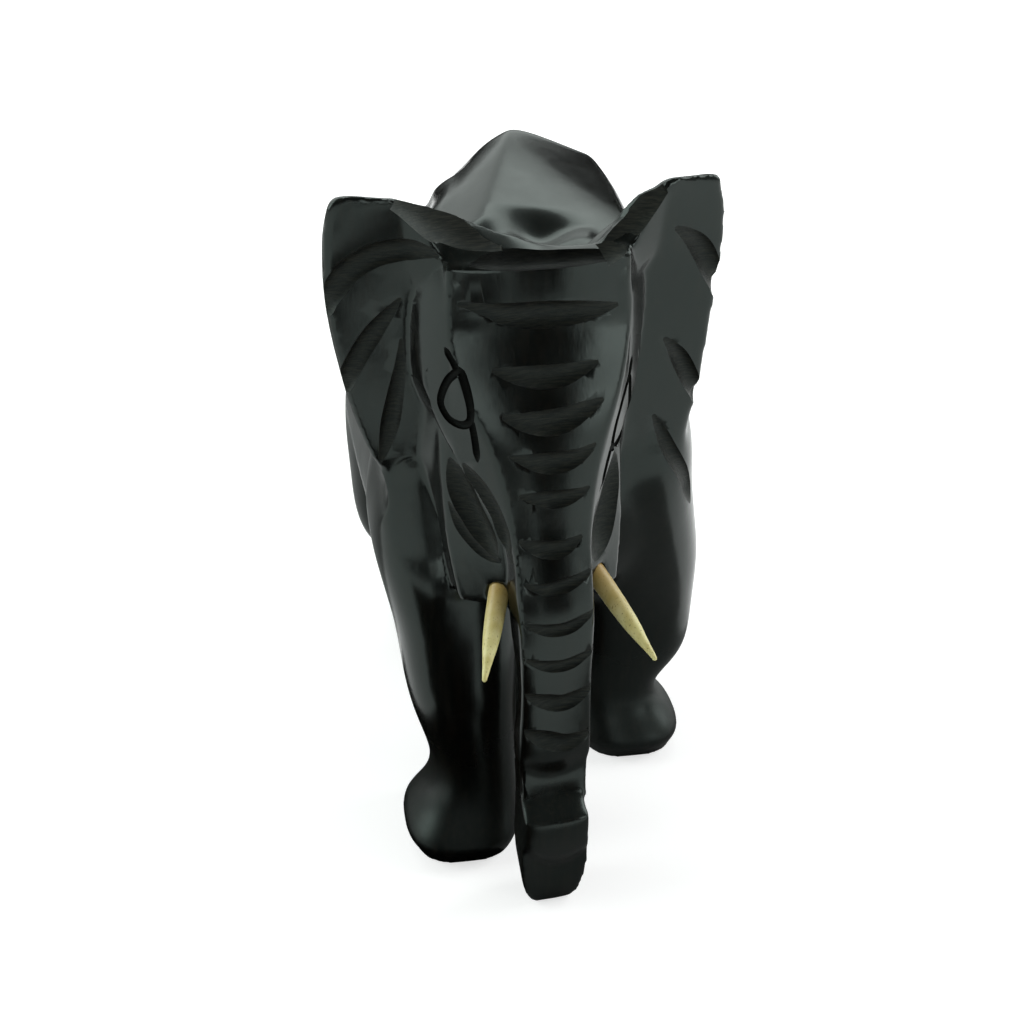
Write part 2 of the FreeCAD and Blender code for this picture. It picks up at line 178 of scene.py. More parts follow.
def softened(block, strokes):
    """The places of the block's points after that many strokes with sandpaper. On a coarser
    mesh fewer strokes go as far."""
    smooth = block.modifiers.new("soften", "SMOOTH")
    smooth.factor = 0.5
    smooth.iterations = int(strokes * (FINE_GRAIN / GRAIN) ** 2)
    graph = bpy.context.evaluated_depsgraph_get()
    points = places(block.evaluated_get(graph).data)
    block.modifiers.remove(smooth)
    return points


def rub(block, strokes, share):
    """Sands the block only where share is above 0."""
    share = share[:, None]
    smooth = softened(block, strokes)
    move_to(block.data, places(block.data) * (1.0 - share) + smooth * share)


# ------------------------------------------------------------------ the carved block
def rough_block():
    """The block as it comes to the bench, on an even mesh that can be worked anywhere."""
    block = linked("carved_elephant", merged(nodes["carved_body"].data.copy(), CAD_SEAM))
    even = block.modifiers.new("even", "REMESH")
    even.mode = "VOXEL"
    even.voxel_size = GRAIN * MM
    return settled(block)


def round_ear_corners(block):
    """The upper outer corners of the ears are rounded, the right one more than the left."""
    x, y, z = seen_from(block, TO_HEAD)
    for side, across, up, radius in ((-1.0, 34.8, 147.4, 4.9), (1.0, 36.5, 149.2, 3.1)):
        out, over = side * x - across, z - up
        far = np.hypot(out, over)
        beyond = (out > 0.0) & (over > 0.0) & (far > radius) & (y < EAR_BACK)
        pull = np.where(beyond, radius / np.maximum(far, 0.1), 1.0)
        x = np.where(beyond, side * (across + out * pull), x)
        z = np.where(beyond, up + over * pull, z)
    set_from(block, x, y, z, FROM_HEAD)


def rub_down(block):
    """Sanding: the head keeps its edges, while torso, legs and ear roots flow together."""
    crisp = softened(block, 10)
    half_round = softened(block, 40)
    round_all = softened(block, 170)
    x, y, z = in_frame(crisp, TO_HEAD)
    torso = rise(y, 22.0, 8.0)
    legs = fade(z, 68.0, 8.0) * rise(y, -0.3, 1.5)
    ear_foot = np.where(x > 0.0, 106.0, 98.0)
    shoulders = rise(abs(x), 20.0, 4.0) * rise(y, 6.0, 4.0) * fade(z, ear_foot, 10.0)
    cheeks = 0.45 * (rise(abs(x), 16.5, 1.5) * fade(abs(x), 25.5, 3.0)
                     * rise(z, 84.0, 4.0) * fade(z, 141.0, 4.0) * rise(y, 1.5, 2.0))
    trunk_end = 0.5 * rise(z, 15.0, 5.0) * fade(z, 38.0, 4.0) * fade(y, -4.0, 3.0)
    soles = fade(z, 9.0, 5.0)
    share = np.maximum.reduce([torso, legs, shoulders, cheeks, trunk_end]) * (1.0 - 0.6 * soles)
    share = share[:, None]
    ear_edges = np.maximum(rise(abs(x), 30.0, 5.0), rise(z, 146.0, 3.0)) * rise(z, 92.0, 8.0)
    ear_edges = ear_edges[:, None]
    crisp = crisp * (1.0 - ear_edges) + half_round * ear_edges
    move_to(block.data, crisp * (1.0 - share) + round_all * share)


def lift_crown(block):
    """The crown climbs from its low middle to the ears, steeper on the left side."""
    x, y, z = seen_from(block, TO_HEAD)
    lift = np.interp(x, [-40, -34, -27, -20, -16, -12, -7, 0,
                         8, 13, 17, 21, 25, 30, 37, 40],
                     [1.0, 1.9, 2.4, 2.9, 2.3, 1.4, 0.5, 0.0,
                      0.4, 1.6, 3.2, 3.9, 3.2, 2.1, 0.8, 0.5])
    z = z + rise(z, 140.5, 7.5) * fade(y, 32.0, 12.0) * lift
    set_from(block, x, y, z, FROM_HEAD)


def lowest(*levels, blend):
    """The lowest of several planes, rounded over blend millimetres where two of them meet."""
    least = np.minimum.reduce(levels)
    return least - blend * np.log(sum(np.exp((least - level) / blend) for level in levels))


def pare_back(block):
    """The back is pared to broad flats that meet at one peak over the shoulders, and the
    right flank is a little fuller where it meets them."""
    x, y, z = seen_from(block, TO_BODY)
    front_left = 144.0 + 0.57 * (x + 1.5) + 0.02 * (y - 76.0)
    front_right = 144.0 - 0.14 * (x + 1.5) + 0.22 * (y - 76.0)
    rear_left = 145.2 + 0.78 * (x + 1.5) - 0.17 * (y - 76.0)
    rear_right = 145.5 - 0.35 * x + 0.10 * (y - 78.0)
    rear = 146.6 - 0.10 * (y - 84.0)
    top = lowest(front_left, front_right, rear_left, rear_right, rear, blend=0.6)
    share = (rise(z, 122.0, 9.0) * rise(y, 36.0, 9.0) * fade(y, 104.0, 16.0)
             * fade(x, 29.0, 8.0) * rise(x, -26.5, 7.0))
    z = z + share * (top - z)
    flank = (rise(z, 118.0, 6.0) * fade(z, 138.0, 7.0) * fade(x, -9.0, 5.0)
             * rise(y, 58.0, 12.0) * fade(y, 108.0, 16.0))
    x = x - 2.2 * flank
    set_from(block, x, y, z, FROM_BODY)


def dip_nape(block):
    """A thumb-wide dip behind the crown, where the neck drops to the head, and a steeper fall
    right behind the crown's edge."""
    x, y, z = seen_from(block, TO_BODY)
    dip = (fade(y, 51.0, 12.0) * np.exp(-((x - 1.0) / 7.0) ** 2)
           * rise(y, 22.0, 6.0) * rise(z, 124.0, 6.0))
    fall = (rise(y, 8.5, 5.0) * fade(y, 30.0, 10.0) * np.exp(-((x + 4.0) / 13.0) ** 2)
            * rise(z, 128.0, 6.0))
    z = z - 4.2 * dip - 3.6 * fall
    set_from(block, x, y, z, FROM_BODY)


def fill_shoulder(block):
    """The right shoulder runs from the ear down into the striding leg without a step."""
    x, y, z = seen_from(block, TO_HEAD)
    across = [-30.0, -28.0, -24.0, -22.0, -18.0]
    above = np.interp(x, across, [18.9, 17.3, 15.2, 14.6, 14.0])
    below = np.interp(x, across, [15.5, 13.0, 9.8, 8.9, 7.9])
    front = above + (below - above) * np.clip((93.0 - z) / 25.0, 0.0, 1.0)
    outside = np.interp(z, [64.0, 72.0, 80.0, 90.0], [-29.5, -30.5, -32.5, -34.5])
    share = (rise(z, 66.0, 5.0) * fade(z, 98.0, 4.0) * fade(x, -14.0, 1.5)
             * rise(x, outside, 3.5) * fade(y, 34.0, 6.0))
    y = y - share * np.clip(y - front, 0.0, 6.0)
    set_from(block, x, y, z, FROM_HEAD)
    rub(block, 70, rise(z, 62.0, 6.0) * fade(z, 98.0, 5.0) * fade(x, -18.8, 0.8)
        * rise(x, -40.0, 4.0) * fade(y, 34.0, 6.0))


def fill_cheeks(block):
    """Each cheek stands proud of the ear and ends in a rim. The right rim runs up to the
    crown, and the left one ends lower."""
    x, y, z = seen_from(block, TO_HEAD)
    rim = np.interp(z, [108, 112, 116, 120, 128, 133, 137, 141],
                    [19.4, 20.9, 22.3, 22.9, 23.1, 22.8, 21.8, 19.8])
    edge = np.interp(z, [108, 112, 116, 120, 126, 132, 136, 141],
                     [3.0, 2.5, 2.2, 2.0, 1.9, 2.3, 2.8, 3.8])
    out = abs(x) - 18.0
    cheek = edge + 1.15 * out + 0.04 * np.maximum(out, 0.0) ** 2
    rim_top = np.where(x > 0.0, 136.0, 142.0)
    share = (rise(abs(x), 17.6, 0.8) * fade(abs(x), rim + 0.5, 0.5)
             * rise(z, 108.0, 4.0) * fade(z, rim_top, 3.0) * (y < CHEEK_BACK))
    y = y - share * np.clip(y - cheek, 0.0, 5.0)
    set_from(block, x, y, z, FROM_HEAD)
    rub(block, 9, rise(abs(x), 19.6, 1.4) * fade(abs(x), 27.0, 3.0)
        * rise(z, 108.0, 4.0) * fade(z, 143.0, 4.0) * (y < CHEEK_BACK))


def square_brow(block):
    """The forehead stays nearly flat right up to the edge of the crown."""
    x, y, z = seen_from(block, TO_HEAD)
    flat = 1.3 + 0.04 * (z - 132.0) + 1.2 * (x / 18.0) ** 2
    share = (rise(z, 131.0, 3.0) * fade(z, CROWN_EDGE, 0.8) * fade(abs(x), 18.6, 1.2)
             * (y < BROW_BACK))
    y = y - share * np.clip(y - flat, 0.0, 3.0)
    set_from(block, x, y, z, FROM_HEAD)
    rub(block, 10, fade(abs(x), 18.2, 1.0) * rise(z, 138.0, 1.5) * fade(z, 146.0, 2.0)
        * (y < BROW_BACK))


def round_face(block):
    """The flat front of forehead and trunk is rubbed slightly round, and the trunk's end is
    hollowed over its lip and again below it."""
    x, y, z = seen_from(block, TO_HEAD)
    half = np.interp(z, [0, 30, 78, 90, 103, 113, 124, 145],
                     [7.0, 7.6, 8.0, 8.2, 10.8, 13.9, 17.6, 18.2])
    across = np.clip(1.0 - (x / half) ** 2, 0.0, 1.0)
    front = np.interp(z, [0, 27, 45, 86, 103, 124, 140], [-13, -12.7, -12, -7.8, -4.9, 1.0, 3.4])
    in_front = fade(y, front + 4.0, 2.5) * fade(z, CROWN_EDGE, 0.8)
    swell = np.interp(z, [0, 25, 40, 90, 125], [0.4, 0.4, 1.0, 1.1, 1.5])
    y = y - across * in_front * swell
    over_lip = np.exp(-((z - 32.0 - 0.05 * x ** 2) / 4.5) ** 2) * across ** 0.5
    below_lip = np.exp(-((z - 10.5 - 0.09 * x ** 2) / 2.6) ** 2)
    y = y + 1.7 * over_lip * in_front + 0.9 * below_lip * in_front
    set_from(block, x, y, z, FROM_HEAD)


def thin_out(block):
    """Fewer faces, most of them taken from where the surface is plain."""
    thin = block.modifiers.new("thin", "DECIMATE")
    thin.ratio = min(1.0, BODY_FACES / (2.0 * len(block.data.polygons)))
    return settled(block)


# ------------------------------------------------------------------ gouge cuts
STEP = 0.6          # mm between the places of a tool on its path
FROM_AFAR = 60.0    # mm in front of the head, where a tool starts
DEEPEST = 24.0      # mm behind the head's origin, past which it has missed the wood
LEAP = 2.5          # mm; a path that jumps farther has slipped over an edge of the wood
STEADY = 4          # steps before and after, over which a tool's lean is evened out
GRAZE = 0.12        # share of a full bite, below which a tool is held off the wood
HELD_OFF = 0.06     # mm, by this much


class Surface:
    """The block's surface as the tools meet it."""

    def __init__(self, block):
        work = bmesh.new()
        work.from_mesh(block.data)
        self.tree = BVHTree.FromBMesh(work)
        work.free()

    def meet(self, x, z):
        """Where a tool held straight in front of the head meets the wood, and the way that
        the wood faces there."""
        ahead = (in_head(0, 1.0, 0) - in_head(0, 0, 0)).normalized()
        place, normal, _, reach = self.tree.ray_cast(in_head(x, -FROM_AFAR, z), ahead)
        if place is None or reach > (FROM_AFAR + DEEPEST) * MM:
            return None, None
        return place, normal


def smooth_path(marks, closed=False):
    """Points on a smooth line through the marks, each a tuple of numbers."""
    marks = [np.array(mark, dtype=float) for mark in marks]
    if closed:
        line = [marks[-1]] + marks + marks[:2]
    else:
        line = [2 * marks[0] - marks[1]] + marks + [2 * marks[-1] - marks[-2]]
    path = []
    for a, b, c, d in zip(line, line[1:], line[2:], line[3:]):
        steps = max(2, int(np.linalg.norm(c - b) / STEP))
        for t in np.arange(steps) / steps:
            path.append(0.5 * (2 * b + (c - a) * t + (2 * a - 5 * b + 4 * c - d) * t ** 2
                               + (3 * b - a - 3 * c + d) * t ** 3))
    return path if closed else path + [marks[-1]]


def gouge_radius(width, depth):
    """The radius of the round gouge whose cut has that width and depth."""
    return (width * width / 4.0 + depth * depth) / (2.0 * depth)


def sunk(radius, width, share, run_in, run_out):
    """How deep a tool is in the wood at that share of its path, where its full cut has that
    width. It enters over run_in of the path and leaves over run_out, and 0 takes it off the
    edge of the wood at its full depth."""
    bite = min(share / run_in if run_in else 1.0,
               (1.0 - share) / run_out if run_out else 1.0, 1.0)
    half = width / 2.0 * math.sin(bite * math.pi / 2)
    return radius - math.sqrt(radius * radius - half * half) - HELD_OFF * (bite < GRAZE)


def sweep(points, radius, closed=False):
    """A round tool's sweep through the wood, as a closed tube."""
    curve = bpy.data.curves.new("sweep", "CURVE")
    curve.dimensions = "3D"
    curve.bevel_depth = radius
    curve.bevel_resolution = 14
    curve.use_fill_caps = True
    line = curve.splines.new("POLY")
    line.points.add(len(points) - 1)
    for knot, place in zip(line.points, points):
        knot.co = (*place, 1.0)
    line.use_cyclic_u = closed
    tube = linked("sweep", curve)
    graph = bpy.context.evaluated_depsgraph_get()
    mesh = bpy.data.meshes.new_from_object(tube.evaluated_get(graph))
    bpy.data.objects.remove(tube)
    return merged(mesh, TUBE_SEAM)


def stroke(surface, marks, width, depth, run_in, run_out):
    """A gouge's sweep along marks, points (x, z) on the head in millimetres."""
    radius = gouge_radius(width, depth)
    line = smooth_path(marks)
    hits, normals = [None] * len(line), [None] * len(line)
    middle = len(line) // 2
    hits[middle], normals[middle] = surface.meet(*line[middle])
    order = [(i, i - 1) for i in range(middle + 1, len(line))]
    order += [(i, i + 1) for i in range(middle - 1, -1, -1)]
    for i, near in order:
        place, normal = surface.meet(*line[i])
        step = in_head(line[i][0], 0, line[i][1]) - in_head(line[near][0], 0, line[near][1])
        if place is None or (place - hits[near] - step).length > LEAP * MM:
            place, normal = hits[near] + step, normals[near]
        hits[i], normals[i] = place, normal
    centres = []
    for i, place in enumerate(hits):
        away = sum(normals[max(0, i - STEADY):i + STEADY + 1], Vector()).normalized()
        level = sunk(radius, width, i / (len(hits) - 1), run_in, run_out)
        centres.append(place + away * (radius - level) * MM)
    return sweep(centres, radius * MM)


def notch(marks, lean, width, depth, run_in, run_out):
    """A gouge's sweep across an edge, where no single surface guides it. The marks are points
    (x, y, z) on the head and the tool leans along lean."""
    radius = gouge_radius(width, depth)
    away = (in_head(*lean) - in_head(0, 0, 0)).normalized()
    line = smooth_path(marks)
    centres = []
    for i, mark in enumerate(line):
        level = sunk(radius, width, i / (len(line) - 1), run_in, run_out)
        centres.append(in_head(*mark) + away * (radius - level) * MM)
    return sweep(centres, radius * MM)


def outline(surface, marks, width, depth):
    """A small gouge's sweep round a closed line."""
    radius = gouge_radius(width, depth)
    centres = []
    for x, z in smooth_path(marks, closed=True):
        place, normal = surface.meet(x, z)
        centres.append(place + normal * (radius - depth) * MM)
    return sweep(centres, radius * MM, closed=True)


def carve(block, sweeps, wood):
    """Takes the tools' sweeps out of the block. The cuts get the finish given as wood."""
    for mesh in sweeps:
        mesh.materials.clear()
        mesh.materials.append(wood)
        tool = linked("tool", mesh)
        cut = block.modifiers.new("cut", "BOOLEAN")
        cut.operation = "DIFFERENCE"
        cut.solver = "MANIFOLD"
        cut.material_mode = "TRANSFER"
        cut.object = tool
        settled(block)
        bpy.data.objects.remove(tool)


# ------------------------------------------------------------------ materials
def linear(text):
    """The linear colour of an sRGB hex value."""
    parts = [int(text[i:i + 2], 16) / 255.0 for i in (0, 2, 4)]
    return [p / 12.92 if p <= 0.04045 else ((p + 0.055) / 1.055) ** 2.4 for p in parts] + [1.0]


class Nodes:
    """The nodes of a material or of the world."""

    def __init__(self, owner):
        owner.use_nodes = True
        self.tree = owner.node_tree

    def fit(self, node, settings=None, links=None):
        """Sets a node's inputs, its switches and a ramp's stops, and links its inputs."""
        for key, value in (settings or {}).items():
            if key == "stops":
                for stop, (position, colour) in zip(node.color_ramp.elements, value):
                    stop.position, stop.color = position, linear(colour)
            elif isinstance(key, int) or key in node.inputs:
                node.inputs[key].default_value = value
            else:
                setattr(node, key, value)
        for key, source in (links or {}).items():
            self.tree.links.new(source, node.inputs[key])
        return node

    def add(self, kind, settings=None, links=None):
        """Adds a node with its settings and links."""
        return self.fit(self.tree.nodes.new(kind), settings, links)


class Finish(Nodes):
    """A material, with the settings of its shader."""

    def __init__(self, name, settings):
        self.material = bpy.data.materials.new(name)
        super().__init__(self.material)
        self.shader = self.fit(self.tree.nodes["Principled BSDF"], settings)

    def shaded(self, links):
        """The material, with its shader's inputs linked."""
        self.fit(self.shader, links=links)
        return self.material


WAX_TINT = linear("ebfff8")   # a cool green cast that the wax gives to what it mirrors
EBONY = {"IOR": 1.42, "Specular Tint": WAX_TINT}


def per_mm(x, y, z):
    """A Mapping scale that makes one unit of a pattern that many millimetres long."""
    return (1.0 / (x * MM), 1.0 / (y * MM), 1.0 / (z * MM))


def polished_ebony():
    """Gaboon ebony, sanded and waxed. Near black, with a soft satin shine that wavers a
    little over the sanded flats, and faint brown streaks along the upright grain."""
    finish = Finish("polished_ebony", EBONY)
    place = finish.add("ShaderNodeTexCoord").outputs["Object"]
    # streaks of late wood, about 1 mm wide and 15 mm long
    along = finish.add("ShaderNodeMapping", {"Scale": per_mm(1.0, 1.0, 15.0)}, {"Vector": place})
    streak = finish.add("ShaderNodeTexNoise", {"Scale": 1.0, "Detail": 4.0, "Roughness": 0.6},
                        {"Vector": along.outputs[0]})
    tone = finish.add("ShaderNodeValToRGB", {"stops": ((0.45, "050504"), (0.75, "130f0b"))},
                      {"Fac": streak.outputs["Fac"]})
    # hand rubbing: the shine varies over patches of about 9 mm
    patches = finish.add("ShaderNodeMapping", {"Scale": per_mm(9.0, 9.0, 9.0)}, {"Vector": place})
    rubbed = finish.add("ShaderNodeTexNoise", {"Scale": 1.0, "Detail": 3.0},
                        {"Vector": patches.outputs[0]})
    shine = finish.add("ShaderNodeMapRange", {"From Min": 0.3, "From Max": 0.7,
                                              "To Min": 0.17, "To Max": 0.25},
                       {"Value": rubbed.outputs["Fac"]})
    # the feet are hard to reach and less rubbed: duller from 35 mm high down to 12 mm
    height = finish.add("ShaderNodeSeparateXYZ", links={0: place})
    foot = finish.add("ShaderNodeMapRange", {"From Min": 35.0 * MM, "From Max": 12.0 * MM,
                                             "To Min": 0.0, "To Max": 0.2},
                      {"Value": height.outputs["Z"]})
    dull = finish.add("ShaderNodeMath", {"operation": "ADD"},
                      {0: shine.outputs[0], 1: foot.outputs[0]})
    # pores, drawn 0.5 mm wide and 4 mm long, wider than the real ones so that they show
    pores = finish.add("ShaderNodeMapping", {"Scale": per_mm(0.5, 0.5, 4.0)}, {"Vector": place})
    pore = finish.add("ShaderNodeTexNoise", {"Scale": 1.0, "Detail": 2.0},
                      {"Vector": pores.outputs[0]})
    dent = finish.add("ShaderNodeBump", {"Strength": 0.5, "Distance": 0.012 * MM},
                      {"Height": pore.outputs["Fac"]})
    wave = finish.add("ShaderNodeBump", {"Strength": 0.6, "Distance": 0.12 * MM},
                      {"Height": rubbed.outputs["Fac"], "Normal": dent.outputs["Normal"]})
    return finish.shaded({"Base Color": tone.outputs["Color"], "Roughness": dull.outputs[0],
                          "Normal": wave.outputs["Normal"]})


def scraped_ebony():
    """The same wood where a flat tool scraped it and nobody polished it: dull grey, with fine
    scratches along the tool's path."""
    finish = Finish("scraped_ebony", {**EBONY, "Specular IOR Level": 0.36, "Roughness": 0.45})
    place = finish.add("ShaderNodeTexCoord").outputs["Object"]
    # scratches, 0.25 mm wide and 9 mm long, from side to side
    lying = finish.add("ShaderNodeMapping", {"Scale": per_mm(9.0, 1.0, 0.25)}, {"Vector": place})
    scratch = finish.add("ShaderNodeTexNoise", {"Scale": 1.0, "Detail": 4.0, "Roughness": 0.65},
                         {"Vector": lying.outputs[0]})
    tone = finish.add("ShaderNodeValToRGB", {"stops": ((0.4, "11110f"), (0.7, "302f29"))},
                      {"Fac": scratch.outputs["Fac"]})
    cut = finish.add("ShaderNodeBump", {"Strength": 0.6, "Distance": 0.08 * MM},
                     {"Height": scratch.outputs["Fac"]})
    return finish.shaded({"Base Color": tone.outputs["Color"], "Normal": cut.outputs["Normal"]})


def gouged_ebony_and_shade(name, gloss, dark, pale):
    """The same wood as the gouge leaves it: duller, with torn paler fibres across the cut. Part
    of its shine is turned down as painted shade in the cut, and gloss is the share of it that is
    left."""
    finish = Finish(name, {**EBONY, "Specular IOR Level": 0.5 * gloss, "Roughness": 0.42})
    place = finish.add("ShaderNodeTexCoord").outputs["Object"]
    # torn fibres, drawn 0.3 mm thick and 3 mm long
    lying = finish.add("ShaderNodeMapping", {"Scale": per_mm(3.0, 1.5, 0.3)}, {"Vector": place})
    fibre = finish.add("ShaderNodeTexNoise", {"Scale": 1.0, "Detail": 5.0, "Roughness": 0.7},
                       {"Vector": lying.outputs[0]})
    tone = finish.add("ShaderNodeValToRGB", {"stops": ((0.42, dark), (0.72, pale))},
                      {"Fac": fibre.outputs["Fac"]})
    torn = finish.add("ShaderNodeBump", {"Strength": 0.9, "Distance": 0.14 * MM},
                      {"Height": fibre.outputs["Fac"]})
    return finish.shaded({"Base Color": tone.outputs["Color"], "Normal": torn.outputs["Normal"]})


def carved_bone(root_height):
    """Cattle bone, whittled and lightly polished: warm pale yellow, with short dark flecks
    along it where its canals are cut open, and amber glue at the root."""
    finish = Finish("carved_bone", {
        "IOR": 1.54, "Roughness": 0.42, "Subsurface Weight": 0.1, "Subsurface Scale": 1.0,
        "Subsurface Radius": (1.0 * MM, 0.7 * MM, 0.4 * MM)})
    place = finish.add("ShaderNodeTexCoord").outputs["Object"]
    # cloudy growth, 2.5 mm across and 7 mm long
    clouds = finish.add("ShaderNodeMapping", {"Scale": per_mm(2.5, 2.5, 7.0)}, {"Vector": place})
    cloud = finish.add("ShaderNodeTexNoise", {"Scale": 1.0, "Detail": 3.0},
                       {"Vector": clouds.outputs[0]})
    body = finish.add("ShaderNodeValToRGB", {"stops": ((0.35, "d8cd84"), (0.65, "ece5a6"))},
                      {"Fac": cloud.outputs["Fac"]})
    # open canals, 0.3 mm wide and 0.9 mm long
    canals = finish.add("ShaderNodeMapping", {"Scale": per_mm(0.3, 0.3, 0.9)}, {"Vector": place})
    canal = finish.add("ShaderNodeTexNoise", {"Scale": 1.0, "Detail": 2.0},
                       {"Vector": canals.outputs[0]})
    fleck = finish.add("ShaderNodeMapRange", {"From Min": 0.63, "From Max": 0.72,
                                              "To Min": 0.0, "To Max": 0.75},
                       {"Value": canal.outputs["Fac"]})
    flecked = finish.add("ShaderNodeMix", {"data_type": "RGBA", 7: linear("7d6b34")},
                         {0: fleck.outputs[0], 6: body.outputs["Color"]})
    # glue and wax in the socket, fading over 9 mm
    height = finish.add("ShaderNodeSeparateXYZ", links={0: place})
    root = finish.add("ShaderNodeMapRange", {"From Min": root_height - 9.0 * MM,
                                             "From Max": root_height,
                                             "To Min": 0.0, "To Max": 0.8},
                      {"Value": height.outputs["Z"]})
    rooted = finish.add("ShaderNodeMix", {"data_type": "RGBA", 7: linear("a87a2e")},
                        {0: root.outputs[0], 6: flecked.outputs[2]})
    dent = finish.add("ShaderNodeBump", {"Strength": 0.4, "Distance": 0.05 * MM},
                      {"Height": cloud.outputs["Fac"]})
    return finish.shaded({"Base Color": rooted.outputs[2], "Normal": dent.outputs["Normal"]})


def white_table():
    """Stands in for the seamless white sheet: its own light lifts it to white from 0.9 m on,
    and less under the object, so that the object's shadow still shows on it."""
    finish = Finish("white_table", {"Base Color": linear("c8c8c8"), "Roughness": 0.9,
                                    "Emission Color": (1, 1, 1, 1)})
    path = finish.add("ShaderNodeLightPath")
    mirrored = finish.add("ShaderNodeMath", {"operation": "MAXIMUM"},
                          {0: path.outputs["Is Glossy Ray"],
                           1: path.outputs["Is Transmission Ray"]})
    seen = finish.add("ShaderNodeMath", {"operation": "MAXIMUM"},
                      {0: path.outputs["Is Camera Ray"], 1: mirrored.outputs[0]})
    place = finish.add("ShaderNodeTexCoord")
    reach = finish.add("ShaderNodeVectorMath", {"operation": "LENGTH"},
                       {0: place.outputs["Object"]})
    level = finish.add("ShaderNodeMapRange", {"From Min": 0.2, "From Max": 0.9,
                                              "To Min": 0.64, "To Max": 1.0},
                       {"Value": reach.outputs["Value"]})
    glow = finish.add("ShaderNodeMath", {"operation": "MULTIPLY"},
                      {0: seen.outputs[0], 1: level.outputs[0]})
    return finish.shaded({"Emission Strength": glow.outputs[0]})


# ------------------------------------------------------------------ build
polished = polished_ebony()
scraped = scraped_ebony()
# Painted shade: the gouged cuts shine less than the polished wood, so that they read darker.
gouged_and_shaded = gouged_ebony_and_shade("gouged_ebony_and_shade", 0.55, "040404", "26251e")
# Painted shade: the crown fold, eye lines and eye rims are drawn darker and duller still.
groove_shade = gouged_ebony_and_shade("painted_shade_groove", 0.16, "020202", "14130f")

block = rough_block()
round_ear_corners(block)
rub_down(block)
lift_crown(block)
pare_back(block)
dip_nape(block)
fill_shoulder(block)
fill_cheeks(block)
square_brow(block)
round_face(block)
block.data.materials.clear()
block.data.materials.append(polished)
thin_out(block)
surface = Surface(block)

# Each stroke: the points (x, z) that the gouge passes, then the width and depth of its cut
# in its middle, and the shares of its length over which it enters and leaves the wood.
FOLDS = [
    ([(-17.8, 134.6), (-8.0, 132.3), (1.0, 131.0), (9.0, 130.8), (17.2, 131.6)],
     5.2, 1.3, 0.5, 0.5),
    ([(-11.8, 121.6), (-4.0, 119.8), (3.0, 119.4), (12.0, 121.4)], 4.8, 1.2, 0.5, 0.5),
    ([(-10.4, 113.0), (-4.0, 111.3), (3.0, 111.2), (12.6, 114.6)], 5.4, 1.3, 0.5, 0.5),
    ([(-8.9, 105.2), (-1.0, 103.2), (5.0, 103.6), (10.2, 106.2)], 4.6, 1.2, 0.5, 0.5),
    ([(-7.6, 97.2), (0.0, 95.8), (5.0, 96.2), (8.6, 97.6)], 3.8, 1.1, 0.5, 0.5),
    ([(-7.8, 88.0), (-2.5, 86.0), (2.0, 85.8), (6.6, 88.0)], 4.0, 1.1, 0.5, 0.5),
    ([(-7.6, 79.6), (-2.0, 78.0), (4.0, 79.0), (8.4, 81.2)], 3.2, 1.0, 0.5, 0.5),
    ([(-7.8, 71.6), (-2.5, 69.7), (2.5, 69.8), (8.2, 72.6)], 3.0, 1.0, 0.45, 0.4),
    ([(-7.6, 63.4), (-2.5, 61.4), (2.5, 61.3), (8.2, 64.0)], 3.0, 1.0, 0.45, 0.4),
    ([(-7.6, 55.0), (-2.5, 52.6), (2.0, 51.9), (8.2, 54.6)], 4.2, 1.2, 0.45, 0.4),
    ([(-7.8, 46.0), (-2.0, 42.8), (2.5, 41.4), (7.6, 43.4)], 4.8, 1.3, 0.45, 0.4),
]
# Across the crown's front edge: points (x, y, z), the lean, and the rest as above.
CROWN_FOLD = ([(-17.5, 2.2, 141.0), (-9.0, 2.6, 141.5), (0.0, 3.2, 141.6), (9.0, 2.8, 141.1),
               (17.0, 1.0, 139.9)], (0.0, -0.4, 0.92), 7.4, 1.6, 0.45, 0.45)
# Two broad scrapes that hollow the crown from its middle up to the ears.
CROWN_SCRAPES = [
    ([(-26.5, 7.6, 152.0), (-21.0, 7.2, 148.9), (-15.0, 7.0, 146.0), (-7.0, 7.6, 144.2)],
     (0.25, -0.75, 0.62), 8.4, 1.0, 0.4, 0.5),
    ([(12.8, 7.3, 143.1), (15.6, 7.1, 144.4), (18.4, 6.7, 146.2), (21.0, 6.2, 148.0),
      (24.0, 6.1, 150.4), (27.0, 6.6, 151.8)], (-0.38, -0.78, 0.5), 9.6, 1.2, 0.5, 0.3),
]
EARS = [
    # the right ear, each from its root out over the edge
    ([(-18.0, 141.8), (-22.0, 143.5), (-26.0, 143.4), (-30.0, 142.6), (-34.0, 140.4),
      (-37.0, 137.4), (-40.0, 132.0)], 5.0, 1.2, 0.35, 0.0),
    ([(-24.4, 134.6), (-28.0, 130.0), (-31.0, 126.0), (-34.0, 121.0), (-38.0, 112.5)],
     4.2, 1.2, 0.5, 0.0),
    ([(-25.2, 127.5), (-25.6, 119.5), (-26.6, 112.4), (-28.0, 104.0), (-29.8, 95.0)],
     4.0, 1.2, 0.7, 0.4),
    # the left ear
    ([(27.4, 144.2), (32.0, 141.4), (36.0, 137.0), (41.0, 127.0)], 4.8, 1.2, 0.5, 0.0),
    ([(28.2, 120.4), (31.5, 116.6), (34.5, 112.0), (40.0, 102.0)], 4.2, 1.2, 0.5, 0.0),
    ([(27.8, 103.0), (30.5, 97.5), (33.5, 91.5), (38.0, 84.0), (42.0, 74.0)],
     4.0, 1.1, 0.5, 0.2),
]
